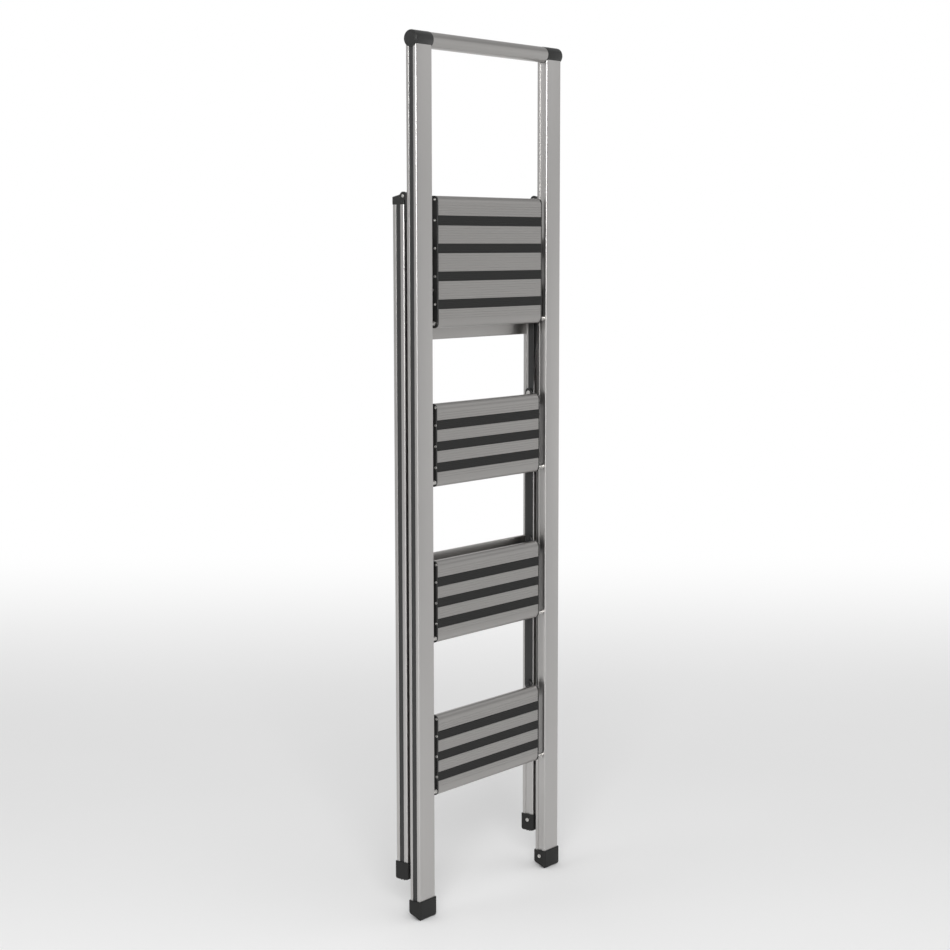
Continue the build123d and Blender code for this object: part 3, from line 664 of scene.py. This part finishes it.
class Graph:
    """A node graph to build, starting empty. The place is where its patterns are read: Object
    coordinates in a material, and the direction looked in for the surround."""

    def __init__(self, owner, place="Object"):
        owner.use_nodes = True
        self.owner, self.tree = owner, owner.node_tree
        self.tree.nodes.clear()
        self.place = self.node("ShaderNodeTexCoord", out=place)

    def node(self, kind, settings=(), inputs=(), out=0):
        """Adds a node, sets its settings, then its inputs by name or number, and gives the named
        output back as a Wire. The setting "stops" is a ramp's list of (place, colour)."""
        made = self.tree.nodes.new(kind)
        for key, value in dict(settings).items():
            if key == "stops":
                ramp = made.color_ramp
                while len(ramp.elements) < len(value):
                    ramp.elements.new(0.5)
                for element, (at, colour) in zip(ramp.elements, value):
                    element.position, element.color = at, colour
            else:
                setattr(made, key, value)
        for key, value in dict(inputs).items():
            if isinstance(value, Wire):
                self.tree.links.new(value.socket, made.inputs[key])
            else:
                made.inputs[key].default_value = value
        return Wire(self, made.outputs[out])

    def noise(self, size, detail=2.0, stretch=(1, 1, 1)):
        """Noise with grains of that size in millimetres, stretched along x, y and z."""
        scale = tuple(1 / (size * MM * s) for s in stretch)
        moved = self.node("ShaderNodeMapping", {}, {"Vector": self.place, "Scale": scale})
        return self.node("ShaderNodeTexNoise", {}, {"Vector": moved, "Scale": 1.0, "Detail": detail})

    def tint(self, amount, dark, light):
        """A colour between two, mixed by an amount from 0 to 1. On a colour Mix node the inputs
        are number 0 for the amount and 6 and 7 for the colours, and output 2 is the colour."""
        return self.node("ShaderNodeMix", {"data_type": "RGBA"},
                         {0: amount, 6: (*dark, 1), 7: (*light, 1)}, out=2)

    def bump(self, height, strength, distance):
        """Height in 0 to 1 as a Normal, distance in millimetres."""
        return self.node("ShaderNodeBump", {}, {"Height": height, "Strength": strength,
                                                "Distance": distance * MM})

    def ramp(self, value, low, high):
        """0 below low, 1 above high, and smooth between: the value is rescaled, clamped and eased."""
        return self.node("ShaderNodeMapRange", {"interpolation_type": "SMOOTHSTEP"},
                         {"Value": value, "From Min": low, "From Max": high})

    def towards(self, way):
        """How far the place lies along a direction."""
        return self.node("ShaderNodeVectorMath", {"operation": "DOT_PRODUCT"},
                         {0: self.place, 1: way}, out="Value")

    def principled(self, **sockets):
        """Principled shader: words in a socket's name are joined by _ here."""
        inputs = {key.replace("_", " "): value for key, value in sockets.items()}
        return self.node("ShaderNodeBsdfPrincipled", {}, inputs)

    def end(self, shader, output="ShaderNodeOutputMaterial"):
        """Joins the last shader to the output node, and gives the material or world back."""
        self.tree.links.new(shader.socket, self.tree.nodes.new(output).inputs["Surface"])
        return self.owner


# %% [markdown]
# ## Anodised aluminium
# Anodised aluminium is bare metal under a thin hard film, so it is metallic with a satin
# sheen, a little warm. Extrusion leaves faint die lines along its length: noise stretched far
# along that direction, thin across it. A broader noise varies the sheen a little, as handling
# does. Uprights are drawn along z, and the treads, crossbars and handle tube along x.

# %% Aluminium
def aluminium(name, stretch, dark, light, rough=0.34):
    """Satin anodised metal with die lines along the direction of the large stretch."""
    g = Graph(material_for(name))
    lines = g.noise(0.35, 1.0, stretch)
    fine = g.noise(0.9, 2.0, stretch)
    cloud = g.noise(60, 3.0)
    grain = g.noise(0.12, 2.0)
    shader = g.principled(Base_Color=g.tint(fine * 0.5 + cloud * 0.5, dark, light), Metallic=1.0,
                          Roughness=rough - 0.04 + cloud * 0.06 + fine * 0.03,
                          Normal=g.bump(lines * 0.5 + grain * 0.5, 0.2, 0.008))
    g.end(shader)
    print(name, "made")


ALONG_Z, ALONG_X = (1, 1, 1500), (1500, 1, 1)
aluminium("upright_aluminium", ALONG_Z, (0.495, 0.484, 0.474), (0.545, 0.534, 0.523))
aluminium("crosswise_aluminium", ALONG_X, (0.405, 0.394, 0.383), (0.450, 0.439, 0.427))
aluminium("tread_aluminium", ALONG_X, (0.375, 0.364, 0.353), (0.420, 0.409, 0.398))

# %% [markdown]
# ## Black mouldings, rubber and coated steel
# The caps are glass-filled plastic with a fine spark-eroded grain and a slight sheen. The
# inserts are smoother. Rubber is rougher and a shade greyer where it has picked up dust, which
# a soft large noise gives. The strips are coarse non-slip rubber. Coated steel has the
# orange-peel surface of powder paint.

# %% Black finishes
def moulding(name, dark, light, rough, grain, deep, spread=0.08, gloss=0.5):
    """Non-metal black: grain in millimetres and its depth, with a dusty cloud of colour. Gloss is
    the share of light the surface mirrors, 0.5 for plastic and less for dry rubber."""
    g = Graph(material_for(name))
    cloud = g.noise(25, 3.0)
    pits = g.noise(grain, 3.0)
    g.end(g.principled(Base_Color=g.tint(cloud * 0.7 + pits * 0.3, dark, light),
                       Roughness=rough - spread / 2 + cloud * spread, Specular_IOR_Level=gloss,
                       Normal=g.bump(pits, 0.5, deep)))
    print(name, "made")


moulding("gloss_moulding", (0.008, 0.008, 0.008), (0.016, 0.016, 0.015), 0.42, 0.5, 0.03)
moulding("groove_insert", (0.016, 0.016, 0.016), (0.026, 0.026, 0.026), 0.38, 0.8, 0.02)
moulding("foot_rubber", (0.009, 0.009, 0.009), (0.018, 0.018, 0.017), 0.55, 0.4, 0.05, 0.15, 0.3)
moulding("strip_rubber", (0.008, 0.008, 0.008), (0.016, 0.016, 0.015), 0.62, 0.35, 0.08, 0.12, 0.3)
moulding("coated_steel", (0.010, 0.010, 0.010), (0.018, 0.018, 0.018), 0.34, 1.4, 0.03)

# %% [markdown]
# ## Zinc-plated steel
# Screws, rivets and pins are plated: bright, faintly mottled metal.

# %% Plated steel
g = Graph(material_for("bright_steel"))
mottle = g.noise(2.5, 3.0)
g.end(g.principled(Base_Color=g.tint(mottle, (0.52, 0.51, 0.49), (0.70, 0.69, 0.67)), Metallic=1.0,
                   Roughness=0.22 + mottle * 0.14, Normal=g.bump(g.noise(0.3), 0.3, 0.02)))

# %% [markdown]
# ## Studio
# A pale floor under a soft surround gives light from everywhere. The surround is brighter
# overhead and behind the ladder, and the floor fades to white behind it. Three soft panels
# shape the metal: one beside the camera draws the bright lines on the rounded edges, one on
# the left lights the sides of the uprights, and a weak one on the right lifts their fronts.

# %% Floor, surround and lights
bpy.context.scene.view_settings.view_transform = "Standard"
bpy.context.scene.view_settings.look = "None"
HALF = 200.0
floor_mesh = bpy.data.meshes.new("floor")
floor_mesh.from_pydata([(-HALF, -HALF, 0), (HALF, -HALF, 0), (HALF, HALF, 0), (-HALF, HALF, 0)],
                       [], [(0, 1, 2, 3)])
floor = bpy.data.objects.new("floor", floor_mesh)
bpy.context.scene.collection.objects.link(floor)
floor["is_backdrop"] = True
AWAY = (0.808, 0.589, 0.0)        # the way the camera looks, along the floor
g = Graph(material_for("pale_floor"))
pale = g.principled(Base_Color=g.tint(g.noise(900, 2.0), (0.86, 0.86, 0.86), (0.90, 0.90, 0.90)),
                    Roughness=0.9, Specular_IOR_Level=0.1)
lit = g.node("ShaderNodeEmission", {}, {"Color": (1, 1, 1, 1), "Strength": 1.0})
g.end(g.node("ShaderNodeMixShader", {}, {0: g.ramp(g.towards(AWAY), 0.5, 4.0), 1: pale, 2: lit}))
floor_mesh.materials.append(g.owner)

world = bpy.data.worlds.new("surround")
bpy.context.scene.world = world
g = Graph(world, "Generated")
wall = g.ramp(g.towards(AWAY), 0.86, 0.97)
roof = g.ramp(g.towards((0.0, 0.0, 1.0)), 0.55, 0.95)
glow = wall * 0.55 + roof * 0.5 + 0.45
g.end(g.node("ShaderNodeBackground", {}, {"Color": (1, 1, 1, 1), "Strength": glow}),
      "ShaderNodeOutputWorld")


def panel(name, place, aim, width, height, power):
    """Soft rectangular light at a place, turned so that it faces the aim point."""
    data = bpy.data.lights.new(name, "AREA")
    data.shape, data.size, data.size_y, data.energy = "RECTANGLE", width, height, power
    light = bpy.data.objects.new(name, data)
    bpy.context.scene.collection.objects.link(light)
    way = np.array(aim, float) - np.array(place, float)
    light.location = place
    light.rotation_euler = (math.acos(-way[2] / np.linalg.norm(way)), 0,
                            math.atan2(way[1], way[0]) - math.pi / 2)


panel("edge_panel", (-3.0, -2.2, 2.0), (0, 0, 1.3), 1.8, 1.2, 95)
panel("side_panel", (-2.6, 1.6, 2.3), (0, 0, 1.3), 1.2, 1.2, 5)
panel("front_panel", (2.5, -1.9, 2.1), (0, 0, 1.4), 1.6, 1.2, 2.5)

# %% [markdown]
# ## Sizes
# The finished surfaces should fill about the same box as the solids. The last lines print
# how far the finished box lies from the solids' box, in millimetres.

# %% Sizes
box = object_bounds()
grown = (np.array(box) - np.array(cad_box)) / MM
print("visual box against the solids, mm:", np.round(grown, 2).tolist())
